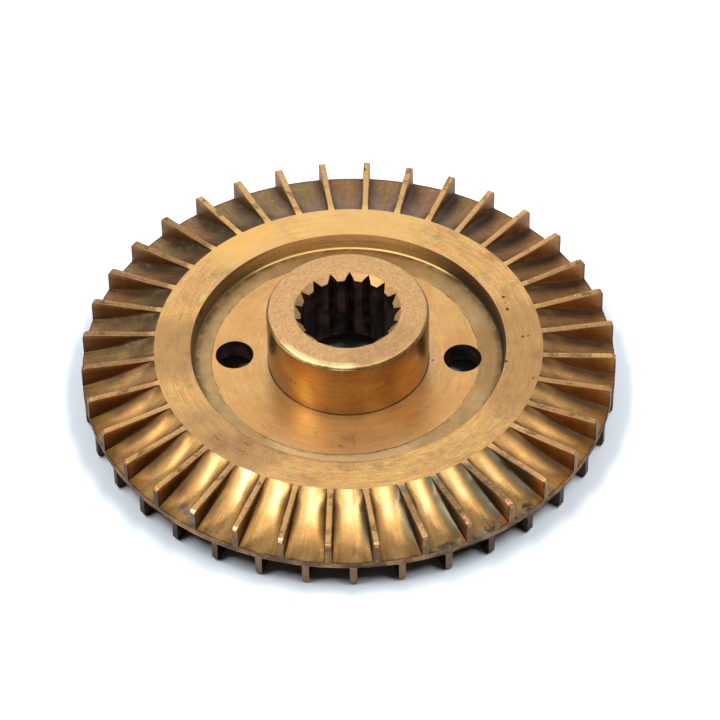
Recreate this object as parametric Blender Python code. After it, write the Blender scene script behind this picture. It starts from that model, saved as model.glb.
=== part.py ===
"""Brass impeller of a peripheral (regenerative turbine) pump, cast and turned in one piece.

A flat disc carries 36 short vanes on each face of its rim, staggered by half a pitch, a turned
land inside them, a shallow recess on each face and a raised hub with a serrated bore.
Metres, +Z up along the bore, origin on the bore's axis at the underside.
"""
import math

import bmesh
import bpy

MM = 0.001

# Disc
OUTER_R = 50.0 * MM
THICKNESS = 10.6 * MM
CORNER_BEVEL = 0.8 * MM
TURNING_STEPS = 72

# Land and recess, the same on both faces
LAND_OUTER_R = 36.4 * MM
LAND_INNER_R = 29.45 * MM
RECESS_FLOOR_R = 28.5 * MM
RECESS_DEPTH = 3.3 * MM
RECESS_DRAFT = 0.35 * MM
RECESS_FILLET = 0.6 * MM

# Hub, raised on the top face only
HUB_R = 15.1 * MM
HUB_RISE = 9.2 * MM
HUB_ROUNDING = 0.8 * MM

# Serrated bore
PILOT_R = 7.0 * MM
TOOTH_COUNT = 17
TOOTH_TIP_R = 8.75 * MM
GROOVE_ROOT_R = 9.93 * MM
GROOVE_MOUTH = 1.93 * MM
FIRST_GROOVE = math.radians(4.9)
MOUTH_STEPS = 68

# Balance holes, on the X axis
BALANCE_HOLE_R = 3.5 * MM
BALANCE_HOLE_AT = 21.4 * MM
HOLE_STEPS = 24

# Vanes and the channels between them
VANE_COUNT = 36
VANE_THICKNESS = 1.3 * MM
VANE_OFFSET = -2.17 * MM
TOP_VANE_ANGLE = math.radians(0.3)
BOTTOM_VANE_ANGLE = math.radians(5.4)
RIM_WEB = 1.2 * MM
ROOT_FILLET = 0.9 * MM
CHANNEL_STATIONS = 8

# How far a cutter runs past the metal it cuts
OVERCUT = 1.0 * MM

HUB_TOP = THICKNESS + HUB_RISE
CHANNEL_DEPTH = (THICKNESS - RIM_WEB) / 2
CHANNEL_LENGTH = OUTER_R - LAND_OUTER_R
FLOOR_RADIUS = (CHANNEL_LENGTH ** 2 + CHANNEL_DEPTH ** 2) / (2 * CHANNEL_DEPTH)


def clear_scene():
    for item in list(bpy.data.objects):
        bpy.data.objects.remove(item, do_unlink=True)


def brass(name):
    """Bare cast brass, dulled by water."""
    material = bpy.data.materials.new(name)
    material.use_nodes = True
    shader = material.node_tree.nodes["Principled BSDF"]
    shader.inputs["Base Color"].default_value = (0.62, 0.40, 0.17, 1.0)
    shader.inputs["Roughness"].default_value = 0.42
    shader.inputs["Metallic"].default_value = 1.0
    return material


def new_object(name, bm):
    bmesh.ops.recalc_face_normals(bm, faces=bm.faces[:])
    mesh = bpy.data.meshes.new(name)
    bm.to_mesh(mesh)
    bm.free()
    item = bpy.data.objects.new(name, mesh)
    bpy.context.scene.collection.objects.link(item)
    return item


def quarter_round(center, radius, start, end, points):
    """Points of a circular arc in the turning plane, as (radius, height) pairs."""
    arc = []
    for i in range(points):
        angle = start + (end - start) * i / (points - 1)
        arc.append((center[0] + radius * math.cos(angle), center[1] + radius * math.sin(angle)))
    return arc


def recess_outline():
    """Half of the recess, from the land's inner edge down to the floor, as (radius, depth)."""
    center = (RECESS_FLOOR_R, RECESS_DEPTH - RECESS_FILLET)
    fillet = quarter_round(center, RECESS_FILLET, 0.0, math.pi / 2, 3)
    fillet[0] = (LAND_INNER_R - RECESS_DRAFT, RECESS_DEPTH - RECESS_FILLET)
    return [(LAND_INNER_R, 0.0)] + fillet


def blank_outline():
    """Closed outline of the turned blank with its pilot bore, as (radius, height) pairs."""
    bevel = CORNER_BEVEL
    hub_round = quarter_round((HUB_R - HUB_ROUNDING, HUB_TOP - HUB_ROUNDING), HUB_ROUNDING,
                              math.pi / 2, 0.0, 3)
    top_recess = [(r, THICKNESS - depth) for r, depth in recess_outline()]
    low_recess = recess_outline()
    outline = [(PILOT_R, HUB_TOP)] + hub_round
    outline.append((HUB_R, THICKNESS - RECESS_DEPTH))
    outline += top_recess[::-1]
    outline += [(OUTER_R - bevel, THICKNESS), (OUTER_R, THICKNESS - bevel)]
    outline += [(OUTER_R, bevel), (OUTER_R - bevel, 0.0)]
    outline += low_recess
    outline.append((PILOT_R, RECESS_DEPTH))
    return outline


def turned_blank():
    bm = bmesh.new()
    verts = [bm.verts.new((radius, 0.0, height)) for radius, height in blank_outline()]
    edges = [bm.edges.new((a, b)) for a, b in zip(verts, verts[1:] + verts[:1])]
    bmesh.ops.spin(bm, geom=verts + edges, cent=(0, 0, 0), axis=(0, 0, 1), angle=math.tau,
                   steps=TURNING_STEPS, use_merge=True)
    return new_object("impeller", bm)


def floor_depth(radius):
    """Depth of a channel's arc-shaped floor below the land, level with the axis at the rim."""
    return CHANNEL_DEPTH - FLOOR_RADIUS + math.sqrt(FLOOR_RADIUS ** 2 - (OUTER_R - radius) ** 2)


def channel_section(radius, depth, first_vane, top_face):
    """One cross-section of the channel that follows the vane at angle first_vane."""
    half = VANE_THICKNESS / 2
    left = first_vane + math.asin((VANE_OFFSET + half) / radius)
    right = first_vane + math.tau / VANE_COUNT + math.asin((VANE_OFFSET - half) / radius)
    corner = ROOT_FILLET / radius
    points = [(left, -OVERCUT), (left, depth - ROOT_FILLET), (left + corner, depth),
              (right - corner, depth), (right, depth - ROOT_FILLET), (right, -OVERCUT)]
    section = []
    for angle, down in points:
        height = THICKNESS - down if top_face else down
        section.append((radius * math.cos(angle), radius * math.sin(angle), height))
    return section


def channel_cutter(name, vane_angle, top_face):
    """All the channels of one face, as separate closed solids in one mesh."""
    start = LAND_OUTER_R - OVERCUT
    stations = [start + (OUTER_R - start) * i / (CHANNEL_STATIONS - 1)
                for i in range(CHANNEL_STATIONS)]
    stations.append(OUTER_R + OVERCUT)
    bm = bmesh.new()
    for vane in range(VANE_COUNT):
        angle = vane_angle + vane * math.tau / VANE_COUNT
        loops = []
        for radius in stations:
            depth = floor_depth(min(radius, OUTER_R))
            section = channel_section(radius, depth, angle, top_face)
            loops.append([bm.verts.new(point) for point in section])
        bm.faces.new(loops[0])
        bm.faces.new(loops[-1][::-1])
        for near, far in zip(loops, loops[1:]):
            for i in range(len(near)):
                j = (i + 1) % len(near)
                bm.faces.new((near[i], far[i], far[j], near[j]))
    return new_object(name, bm)


def prism(bm, outline, low, high):
    """Upright prism over a closed plan outline."""
    base = bm.faces.new([bm.verts.new((x, y, low)) for x, y in outline])
    grown = bmesh.ops.extrude_face_region(bm, geom=[base])
    top = [item for item in grown["geom"] if isinstance(item, bmesh.types.BMVert)]
    bmesh.ops.translate(bm, verts=top, vec=(0, 0, high - low))


def serration_cutter():
    """Seventeen V grooves with flat tooth tips between them."""
    half_mouth = math.asin(GROOVE_MOUTH / 2 / TOOTH_TIP_R)
    outline = []
    for tooth in range(TOOTH_COUNT):
        groove = FIRST_GROOVE + tooth * math.tau / TOOTH_COUNT
        for radius, angle in ((TOOTH_TIP_R, groove - half_mouth), (GROOVE_ROOT_R, groove),
                              (TOOTH_TIP_R, groove + half_mouth)):
            outline.append((radius * math.cos(angle), radius * math.sin(angle)))
    bm = bmesh.new()
    prism(bm, outline, RECESS_DEPTH - OVERCUT, HUB_TOP + OVERCUT)
    return new_object("serration_cutter", bm)


def mouth_cutter(name, face_height, outward):
    """Cone of the 45 degree chamfer at one end of the bore; outward is +1 up or -1 down."""
    inner = PILOT_R - OVERCUT
    wide = GROOVE_ROOT_R + OVERCUT
    length = wide - inner
    bm = bmesh.new()
    bmesh.ops.create_cone(bm, cap_ends=True, segments=MOUTH_STEPS, radius1=inner, radius2=wide,
                          depth=length)
    if outward < 0:
        bmesh.ops.scale(bm, vec=(1, 1, -1), verts=bm.verts[:])
    center = face_height + outward * (OVERCUT - length / 2)
    bmesh.ops.translate(bm, verts=bm.verts[:], vec=(0, 0, center))
    return new_object(name, bm)


def balance_hole_cutter():
    length = THICKNESS + 2 * OVERCUT
    bm = bmesh.new()
    for side in (-1, 1):
        hole = bmesh.ops.create_cone(bm, cap_ends=True, segments=HOLE_STEPS,
                                     radius1=BALANCE_HOLE_R, radius2=BALANCE_HOLE_R, depth=length)
        bmesh.ops.translate(bm, verts=hole["verts"],
                            vec=(side * BALANCE_HOLE_AT, 0, THICKNESS / 2))
    return new_object("balance_hole_cutter", bm)


def cut(body, cutter):
    cutter.hide_render = True
    cutter.display_type = "WIRE"
    modifier = body.modifiers.new(cutter.name, "BOOLEAN")
    modifier.operation = "DIFFERENCE"
    modifier.solver = "EXACT"
    modifier.object = cutter


def main():
    clear_scene()
    impeller = turned_blank()
    impeller.data.materials.append(brass("cast_brass"))
    cut(impeller, channel_cutter("top_channel_cutter", TOP_VANE_ANGLE, True))
    cut(impeller, channel_cutter("bottom_channel_cutter", BOTTOM_VANE_ANGLE, False))
    cut(impeller, balance_hole_cutter())
    cut(impeller, serration_cutter())
    cut(impeller, mouth_cutter("top_mouth_cutter", HUB_TOP, 1))
    cut(impeller, mouth_cutter("bottom_mouth_cutter", RECESS_DEPTH, -1))


main()
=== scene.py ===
"""Looks of a brass peripheral pump impeller: the cast and turned metal, its wear, and a studio."""
import functools
import math
import random

import bmesh
import bpy
from mathutils import Matrix, Vector, noise


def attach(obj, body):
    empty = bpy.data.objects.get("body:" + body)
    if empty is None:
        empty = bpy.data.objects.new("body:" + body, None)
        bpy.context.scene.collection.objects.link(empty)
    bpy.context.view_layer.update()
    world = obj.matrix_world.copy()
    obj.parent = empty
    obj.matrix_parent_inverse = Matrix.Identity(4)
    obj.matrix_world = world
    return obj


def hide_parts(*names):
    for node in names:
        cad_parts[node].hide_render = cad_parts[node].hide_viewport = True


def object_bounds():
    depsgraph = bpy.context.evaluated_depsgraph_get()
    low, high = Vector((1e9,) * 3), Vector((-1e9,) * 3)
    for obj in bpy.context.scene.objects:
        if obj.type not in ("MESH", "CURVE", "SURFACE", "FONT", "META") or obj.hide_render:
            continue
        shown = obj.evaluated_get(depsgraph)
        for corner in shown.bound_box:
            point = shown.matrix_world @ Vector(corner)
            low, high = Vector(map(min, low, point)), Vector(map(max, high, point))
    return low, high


bl_info = {
    "name": "Pump Impeller Looks",
    "version": (1, 0, 0),
    "blender": (4, 5, 0),
    "location": "3D View > Sidebar > Impeller",
    "description": "Dresses the packed pump impeller in cast and turned brass on a brightly lit floor",
    "category": "Object",
}

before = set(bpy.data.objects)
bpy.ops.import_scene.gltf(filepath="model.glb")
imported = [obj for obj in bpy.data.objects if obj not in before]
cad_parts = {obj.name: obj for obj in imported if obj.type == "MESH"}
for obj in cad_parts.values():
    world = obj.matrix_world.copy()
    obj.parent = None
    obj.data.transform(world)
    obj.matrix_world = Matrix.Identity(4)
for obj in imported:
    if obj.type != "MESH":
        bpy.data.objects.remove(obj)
CAD_LOW, CAD_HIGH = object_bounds()

MM = 0.001
NODE = "impeller"
BODY = "root"

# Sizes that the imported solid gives
OUTER_R = CAD_HIGH.x
HUB_TOP = CAD_HIGH.z

# Sizes of the casting, in metres
THICKNESS = 10.6 * MM
LAND_OUTER_R = 36.4 * MM
LAND_INNER_R = 29.45 * MM
RECESS_DEPTH = 3.3 * MM
RECESS_DRAFT = 0.35 * MM
RECESS_FILLET = 0.35 * MM
HUB_R = 15.1 * MM
HUB_ROUNDING = 0.8 * MM
HUB_FILLET = 0.12 * MM
BALANCE_HOLE_R = 3.5 * MM
BALANCE_HOLE_AT = 21.4 * MM
BALANCE_HOLE_MOUTH = 0.06 * MM

# Serrated bore
TOOTH_COUNT = 17
TOOTH_TIP_R = 8.75 * MM
GROOVE_ROOT_R = 9.93 * MM
GROOVE_MOUTH = 1.93 * MM
FIRST_GROOVE = math.radians(4.9)

# Vanes
VANE_COUNT = 36
PITCH = math.tau / VANE_COUNT
VANE_OFFSET = -2.17 * MM
RIM_WEB = 1.2 * MM
TIP_CORNER = 0.62 * MM
TOP_VANE_ANGLE = math.radians(0.3)
BOTTOM_VANE_ANGLE = math.radians(5.4)
CHANNEL_DEPTH = (THICKNESS - RIM_WEB) / 2
FLOOR_RADIUS = ((OUTER_R - LAND_OUTER_R) ** 2 + CHANNEL_DEPTH ** 2) / (2 * CHANNEL_DEPTH)

# Fineness of the mesh
RING_STEPS = 288
WALL_STEPS = 2
FILLET_STEPS = 3
FLOOR_STEPS = 12
MIDDLE_ROWS = 22
CORNER_ROWS = 5

SHARP_ANGLE = math.radians(34)

# How far the rims of stains, and of painted highlight and shade marks, wander
FRAY = 0.6 * MM

# Materials, in the order of the object's slots
CAST, FACED, WEB, WALL, HUB_SIDE, HUB_FACE, BROACHED, ENDS, RIM = range(9)

# Values painted on the channels' points: place from wall to wall, from land to rim, closeness
# to a wall, and to a vane's top
PAINT = ("across", "along", "wall", "crest")

# Camera, round the centre of the top land
CAMERA_DISTANCE = 689.4 * MM
CAMERA_ELEVATION = math.radians(45.91)
CAMERA_AZIMUTH = math.radians(2.74)
CAMERA_ROLL = math.radians(-1.17)
CAMERA_LENS = 184.4
AIM_RIGHT = 2.135 * MM
AIM_UP = -3.012 * MM


def hex_to_linear(code):
    """Linear RGBA of an sRGB colour written as RRGGBB."""
    channels = []
    for i in (0, 2, 4):
        value = int(code[i:i + 2], 16) / 255
        channels.append(value / 12.92 if value <= 0.04045 else ((value + 0.055) / 1.055) ** 2.4)
    return (*channels, 1.0)


def hex_colour(label, text, code):
    """A colour property whose default is an sRGB hex value."""
    return bpy.props.FloatVectorProperty(name=label, description=text, subtype="COLOR", size=4,
                                         min=0.0, max=1.0, default=hex_to_linear(code))


def length(label, text, metres):
    """A length property in metres."""
    return bpy.props.FloatProperty(name=label, description=text, default=metres, min=0.0,
                                   unit="LENGTH", precision=5)


class ImpellerSizes(bpy.types.PropertyGroup):
    """Sizes of the fine forms that the looks add to the solid."""

    vane_thickness: length("Vane thickness", "Thickness of a vane", 1.3 * MM)
    vane_edge: length("Vane edge", "Rounding of a vane's top edges", 0.13 * MM)
    fillet: length("Fillet", "Radius where a vane meets its channel's floor", 0.25 * MM)
    trough: bpy.props.FloatProperty(name="Trough", description="How hollow the channels' floors are",
                                    default=0.5, min=0.0, max=0.8)
    cast_wave: length("Cast wave", "Height of the casting's uneven surface", 0.025 * MM)
    rim_ragged: length("Ragged rim", "How far the rim web's cast edge wanders", 0.16 * MM)


class ImpellerColours(bpy.types.PropertyGroup):
    """Colours of the brass and of what has settled on it."""

    bare: hex_colour("Bare brass", "Freshly faced brass", "CB9F63")
    cast: hex_colour("Cast brass", "Cast skin of the channels", "CB9E60")
    brown: hex_colour("Brown tarnish", "Dark tarnish on the vane flanks", "744E28")
    green: hex_colour("Verdigris", "Grey green crust in the vane roots", "524E3C")
    dull: hex_colour("Dull brass", "Oxidised hub face", "C69C68")
    floor: hex_colour("Studio floor", "Grey floor under the part", "7F858B")


# Node helpers

def add_node(tree, kind, settings, output=None):
    """Adds a node and returns an output; settings are properties, values or sockets to link."""
    node = tree.nodes.new(kind)
    for key, value in settings.items():
        if isinstance(value, bpy.types.NodeSocket):
            tree.links.new(value, node.inputs[key])
        elif isinstance(key, str) and hasattr(node, key):
            setattr(node, key, value)
        else:
            node.inputs[key].default_value = value
    if output is not None:
        return node.outputs[output]
    return next((socket for socket in node.outputs if socket.enabled), None)


def new_material(name):
    """An empty node material and a shorthand that adds nodes to it."""
    material = bpy.data.materials.new(name)
    material.use_nodes = True
    material.node_tree.nodes.clear()
    return material, functools.partial(add_node, material.node_tree)


# Geometry of the casting

def floor_depth(radius):
    """Depth below the land of a channel's arc-shaped floor."""
    inward = OUTER_R - min(radius, OUTER_R)
    return CHANNEL_DEPTH - FLOOR_RADIUS + math.sqrt(FLOOR_RADIUS ** 2 - inward ** 2)


def wave(point, size):
    """Smooth noise from -1 to 1 whose lumps are about size across."""
    return noise.noise(point / size)


class Vane:
    """Small differences that casting and wear left on one vane."""

    def __init__(self, angle, rng, sizes):
        self.angle = angle + math.radians(rng.uniform(-0.14, 0.14))
        self.half = sizes.vane_thickness / 2 * rng.uniform(0.93, 1.05)
        self.corner = TIP_CORNER * rng.uniform(0.7, 1.1)
        self.edge = sizes.vane_edge * rng.uniform(0.8, 1.3)
        self.shift = Vector((0, rng.uniform(0, 1), rng.uniform(0, 1)))

    def wear(self, radius, size):
        """Noise from 0 to 1 along the vane."""
        return 0.5 + 0.5 * noise.noise(self.shift + Vector((radius / size, 0, 0)))

    def half_at(self, radius):
        """Half thickness, which the worn edges narrow here and there."""
        return self.half - 0.07 * MM * self.wear(radius, 0.9 * MM)

    def top_depth(self, radius):
        """How far the vane's top lies below the land, with its corner worn to a facet."""
        start = min(max(radius - LAND_OUTER_R, 0.0) / MM, 1.0)
        uneven = 0.035 * MM * self.wear(radius, 1.4 * MM) * start
        over = min(max(radius - (OUTER_R - self.corner), 0.0) / self.corner, 1.0)
        return uneven + self.corner * 1.1 * (1 - (1 - over ** 1.3) ** (1 / 1.3))


class Face:
    """One face of the disc: the top one, or the underside turned over."""

    def __init__(self, bm, up, vane_angle, seed, sizes):
        rng = random.Random(seed)
        self.bm = bm
        self.up = up
        self.sizes = sizes
        self.shift = Vector((seed * 1.7, seed * 0.9, seed * 0.3)) * 0.01
        self.vanes = [Vane(vane_angle + i * PITCH, rng, sizes) for i in range(VANE_COUNT)]
        self.layers = [bm.verts.layers.float.get(name) or bm.verts.layers.float.new(name)
                       for name in PAINT]

    def height(self, depth):
        return THICKNESS - depth if self.up else depth

    def land_wander(self, index):
        """How far one channel starts beyond the land's nominal edge."""
        return noise.noise(Vector((index * 3.1, self.shift.x * 100, 0.5))) * 0.12 * MM

    def vert(self, radius, angle, depth, *paint):
        vert = self.bm.verts.new((radius * math.cos(angle), radius * math.sin(angle),
                                  self.height(depth)))
        for layer, value in zip(self.layers, paint):
            vert[layer] = value
        return vert

    def ring(self, radius, depth, steps=RING_STEPS):
        return [self.vert(radius, math.tau * i / steps, depth) for i in range(steps)]

    def face(self, verts, material):
        unique = list(dict.fromkeys(verts))
        if len(unique) < 3:
            return
        made = self.bm.faces.new(unique if self.up else unique[::-1])
        made.material_index = material
        made.smooth = True

    def band(self, inner, outer, material):
        """Quads between two closed loops of the same count, inner first, seen from outside."""
        count = len(inner)
        for i in range(count):
            j = (i + 1) % count
            self.face((inner[i], outer[i], outer[j], inner[j]), material)

    def zip(self, inner, outer, material):
        """Triangles between two closed loops whose points run round the axis."""
        zip_loops(inner, outer, lambda verts: self.face(verts, material))


def turn(vert):
    return math.atan2(vert.co.y, vert.co.x) % math.tau


def from_zero(loop):
    """The loop rolled so that it starts at its lowest angle."""
    angles = [turn(vert) for vert in loop]
    start = angles.index(min(angles))
    return loop[start:] + loop[:start]


def zip_loops(inner, outer, make_face):
    inner = from_zero(inner)
    outer = from_zero(outer)
    a_angles = [turn(vert) for vert in inner] + [math.tau + turn(inner[0])]
    b_angles = [turn(vert) for vert in outer] + [math.tau + turn(outer[0])]
    inner = inner + [inner[0]]
    outer = outer + [outer[0]]
    i = j = 0
    while i < len(inner) - 1 or j < len(outer) - 1:
        step_outer = i == len(inner) - 1
        if not step_outer and j < len(outer) - 1:
            step_outer = b_angles[j + 1] < a_angles[i + 1]
        if step_outer:
            make_face((inner[i], outer[j], outer[j + 1]))
            j += 1
        else:
            make_face((inner[i], outer[j], inner[i + 1]))
            i += 1


def row_radii():
    """Radii of the rows along a channel as shares of its length, closer at both ends."""
    inner = [0.0, 0.012, 0.03, 0.06, 0.1, 0.15]
    middle = [0.15 + 0.78 * i / MIDDLE_ROWS for i in range(1, MIDDLE_ROWS + 1)]
    start = OUTER_R - 1.1 * TIP_CORNER
    length_all = OUTER_R - LAND_OUTER_R
    corner = []
    for i in range(1, CORNER_ROWS + 1):
        radius = start + 1.1 * TIP_CORNER * math.sin(math.pi / 2 * i / CORNER_ROWS)
        corner.append((radius - LAND_OUTER_R) / length_all)
    return inner + middle + corner


def side_column(half, edge, top, fillet, floor_at, side):
    """Offsets from a vane's mid-plane, depths and paint down one wall; side is +1 or -1."""
    room = max(floor_at(0.0) - top, 0.0)
    edge = min(edge, 0.3 * room)
    fillet = min(fillet, 0.3 * room)
    points = []
    for i in range(4):
        angle = math.pi / 2 * i / 3
        points.append((half - edge + edge * math.sin(angle), top + edge * (1 - math.cos(angle)),
                       1.0, 1.0))
    low = floor_at(0.0) - fillet
    for i in range(1, WALL_STEPS):
        share = i / WALL_STEPS
        points.append((half, top + edge + (low - top - edge) * share, 1.0,
                       max(0.0, 1 - 2 * share)))
    for i in range(FILLET_STEPS + 1):
        angle = math.pi / 2 * i / FILLET_STEPS
        off = fillet * (1 - math.cos(angle))
        points.append((half + off, floor_at(off) - fillet * (1 - math.sin(angle)),
                       math.cos(angle) ** 2, 0.0))
    return [(side * offset, depth, wall, crest) for offset, depth, wall, crest in points]


def vane_angle(vane, radius, offset):
    return vane.angle + math.asin((VANE_OFFSET + offset) / radius)


def channel_row(face, share):
    """One ring of points round the disc across every vane and channel."""
    sizes = face.sizes
    row = []
    floor_marks = []
    fade = min(1.0, share * 7)
    for index, vane in enumerate(face.vanes):
        following = face.vanes[(index + 1) % VANE_COUNT]
        lap = math.tau if index == VANE_COUNT - 1 else 0.0
        start = LAND_OUTER_R + face.land_wander(index)
        radius = start + (OUTER_R - start) * share
        floor = floor_depth(radius) - floor_depth(start) * (1 - share)
        half, other_half = vane.half_at(radius), following.half_at(radius)
        width = radius * (following.angle - vane.angle + lap) - half - other_half
        dip = min(width / 2 * sizes.trough * (1 - share ** 2), 0.6 * floor)

        def floor_at(off):
            return floor - dip * (1 - 2 * off / width) ** 2

        top = vane.top_depth(radius)
        row.append(face.vert(radius, vane_angle(vane, radius, 0), top, 0, share, 0, fade))
        left = side_column(half, vane.edge, top, sizes.fillet, floor_at, 1)
        right = side_column(other_half, following.edge, following.top_depth(radius), sizes.fillet,
                            floor_at, -1)
        channel = [face.vert(radius, vane_angle(vane, radius, offset), depth, 0, 0, wall, crest * fade)
                   for offset, depth, wall, crest in left]
        begin = vane_angle(vane, radius, left[-1][0])
        end = vane_angle(following, radius, right[-1][0]) + lap
        for i in range(1, FLOOR_STEPS):
            step = i / FLOOR_STEPS
            off = left[-1][0] - half + (width - 2 * (left[-1][0] - half)) * step
            channel.append(face.vert(radius, begin + (end - begin) * step, floor_at(off)))
        channel += [face.vert(radius, vane_angle(following, radius, offset), depth, 0, 0, wall,
                              crest * fade) for offset, depth, wall, crest in right[::-1]]
        across_channel(face, channel, share)
        first_floor = len(row) + len(left) - 1
        floor_marks.append((first_floor, first_floor + FLOOR_STEPS))
        row += channel
    return row, floor_marks


def across_channel(face, verts, share):
    """Writes how far each point of a channel stands between its walls and along its length."""
    turns = [turn(vert) for vert in verts]
    turns = [value + math.tau if value < turns[0] - 1 else value for value in turns]
    low, high = min(turns), max(turns)
    for vert, value in zip(verts, turns):
        vert[face.layers[0]] = 2 * (value - low) / (high - low) - 1
        vert[face.layers[1]] = share


def roughen(face, rows):
    """Pushes the cast surfaces in and out a little, as sand casting leaves them."""
    amount = face.sizes.cast_wave
    for row in rows[1:]:
        for vert in row:
            depth = THICKNESS - vert.co.z if face.up else vert.co.z
            if depth < 0.3 * MM or vert[face.layers[3]] > 0:
                continue
            place = vert.co + face.shift
            fade = min(1.0, (depth - 0.3 * MM) / (0.8 * MM))
            push = (wave(place, 3.2 * MM) + 0.4 * wave(place, 1.1 * MM)) * amount * fade
            along = vert.co.copy()
            along.z = 0
            across = Vector((-along.y, along.x, 0)).normalized()
            steep = vert[face.layers[2]]
            vert.co += across * push * steep
            vert.co.z += push * (1 - steep) * (1 if face.up else -1)


def bladed_rim(face):
    """Vanes and channels of one face; returns the loop at the land and the loop of the rim web."""
    rows = []
    marks = []
    for share in row_radii():
        row, marks = channel_row(face, share)
        rows.append(row)
    roughen(face, rows)
    count = len(rows[0])
    per_pitch = count // VANE_COUNT
    for inner, outer in zip(rows, rows[1:]):
        for i in range(count):
            j = (i + 1) % count
            material = FACED if i % per_pitch in (0, per_pitch - 1) else CAST
            face.face((inner[i], outer[i], outer[j], inner[j]), material)
    last = rows[-1]
    rim = []
    for index, (first, final) in enumerate(marks):
        rim += last[first:final + 1]
        following_first = marks[(index + 1) % VANE_COUNT][0]
        if following_first > final:
            end_face = last[final:following_first + 1]
        else:
            end_face = last[final:] + last[:following_first + 1]
        face.face(end_face[::-1], ENDS)
    return rows[0], rim


def rim_edge(top_face, low_face, top_loop, low_loop):
    """The thin cast edge of the rim web, ragged where the mould halves met."""
    ragged = top_face.sizes.rim_ragged
    middle = (top_face.height(CHANNEL_DEPTH) + low_face.height(CHANNEL_DEPTH)) / 2
    steps = RING_STEPS * 2
    rings = []
    for level, lean in ((0.44, 0.6), (0.05, 1.0), (-0.44, 0.6)):
        ring = []
        for i in range(steps):
            angle = math.tau * i / steps
            place = Vector((math.cos(angle), math.sin(angle), level * 0.2)) * OUTER_R
            chip = 0.5 + 0.5 * wave(place, 1.6 * MM)
            slow = 0.5 + 0.5 * wave(place, 6 * MM)
            inward = ragged * (chip * 0.6 + slow * 0.4) + 0.05 * MM * (1 - lean)
            vert = top_face.vert(OUTER_R - inward, angle, 0)
            vert.co.z = middle + level * RIM_WEB + 0.12 * MM * wave(place, 4 * MM)
            ring.append(vert)
        rings.append(ring)
    loops = [top_loop] + rings + [low_loop]
    for above, below in zip(loops, loops[1:]):
        zip_loops(above, below, lambda verts: top_face.face(verts, RIM))


def recess(face, land_loop):
    """Land, recess wall and its bottom radius; returns the loop where the wall meets the floor."""
    outer = face.ring(LAND_INNER_R + 0.1 * MM, 0)
    face.zip(outer, land_loop, FACED)
    profile = [(LAND_INNER_R + 0.03 * MM, 0.03 * MM), (LAND_INNER_R, 0.1 * MM)]
    wall_foot = (LAND_INNER_R - RECESS_DRAFT, RECESS_DEPTH - RECESS_FILLET)
    for i in (1, 2, 3):
        share = i / 3
        profile.append((LAND_INNER_R - RECESS_DRAFT * share, 0.1 * MM + (wall_foot[1] - 0.1 * MM) * share))
    for i in range(1, 7):
        angle = math.pi / 2 * i / 6
        profile.append((wall_foot[0] - RECESS_FILLET * (1 - math.cos(angle)),
                        wall_foot[1] + RECESS_FILLET * math.sin(angle)))
    for radius, depth in profile:
        inner = face.ring(radius, depth)
        face.band(inner, outer, WALL)
        outer = inner
    return outer


def hole_ring(face, side, radius, depth, steps=48):
    """Points round a balance hole, clockwise seen from above."""
    ring = []
    for i in range(steps):
        angle = math.tau * i / steps
        vert = face.vert(1, 0, depth)
        vert.co.x = side * BALANCE_HOLE_AT + radius * math.cos(angle)
        vert.co.y = radius * math.sin(angle)
        ring.append(vert)
    return ring


def web_floor(face, outer_loop, inner_loop):
    """Flat recess floor between two loops, with the two balance holes left open."""
    mouth = BALANCE_HOLE_MOUTH
    holes = []
    loops = [outer_loop, inner_loop]
    for side in (-1, 1):
        ring = hole_ring(face, side, BALANCE_HOLE_R + mouth, RECESS_DEPTH)
        holes.append(ring)
        loops.append(ring)
    edges = []
    for loop in loops:
        for a, b in zip(loop, loop[1:] + loop[:1]):
            edges.append(face.bm.edges.get((a, b)) or face.bm.edges.new((a, b)))
    filled = bmesh.ops.triangle_fill(face.bm, use_beauty=True, use_dissolve=False, edges=edges)
    for item in filled["geom"]:
        if isinstance(item, bmesh.types.BMFace):
            item.material_index = WEB
            item.smooth = True
            item.normal_update()
            if (item.normal.z > 0) != face.up:
                item.normal_flip()
    return holes


def balance_holes(top_face, low_face, top_rings, low_rings):
    mouth = BALANCE_HOLE_MOUTH
    for side, top_ring, low_ring in zip((-1, 1), top_rings, low_rings):
        rings = [top_ring, hole_ring(top_face, side, BALANCE_HOLE_R, RECESS_DEPTH + mouth),
                 hole_ring(low_face, side, BALANCE_HOLE_R, RECESS_DEPTH + mouth), low_ring]
        for above, below in zip(rings, rings[1:]):
            top_face.band(below, above, BROACHED)


def tooth_outline():
    """Plan of the serrated bore: radius and angle of each point, groove root first."""
    half_mouth = math.asin(GROOVE_MOUTH / 2 / TOOTH_TIP_R)
    pitch = math.tau / TOOTH_COUNT
    outline = []
    for tooth in range(TOOTH_COUNT):
        groove = FIRST_GROOVE + tooth * pitch
        for share in (0.0, 0.33, 0.66, 1.0):
            radius = GROOVE_ROOT_R + (TOOTH_TIP_R - GROOVE_ROOT_R) * share
            outline.append((radius, groove + half_mouth * share))
        for share in (0.33, 0.67):
            outline.append((TOOTH_TIP_R, groove + half_mouth + (pitch - 2 * half_mouth) * share))
        for share in (1.0, 0.66, 0.33):
            radius = GROOVE_ROOT_R + (TOOTH_TIP_R - GROOVE_ROOT_R) * share
            outline.append((radius, groove + pitch - half_mouth * share))
    return outline


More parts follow.
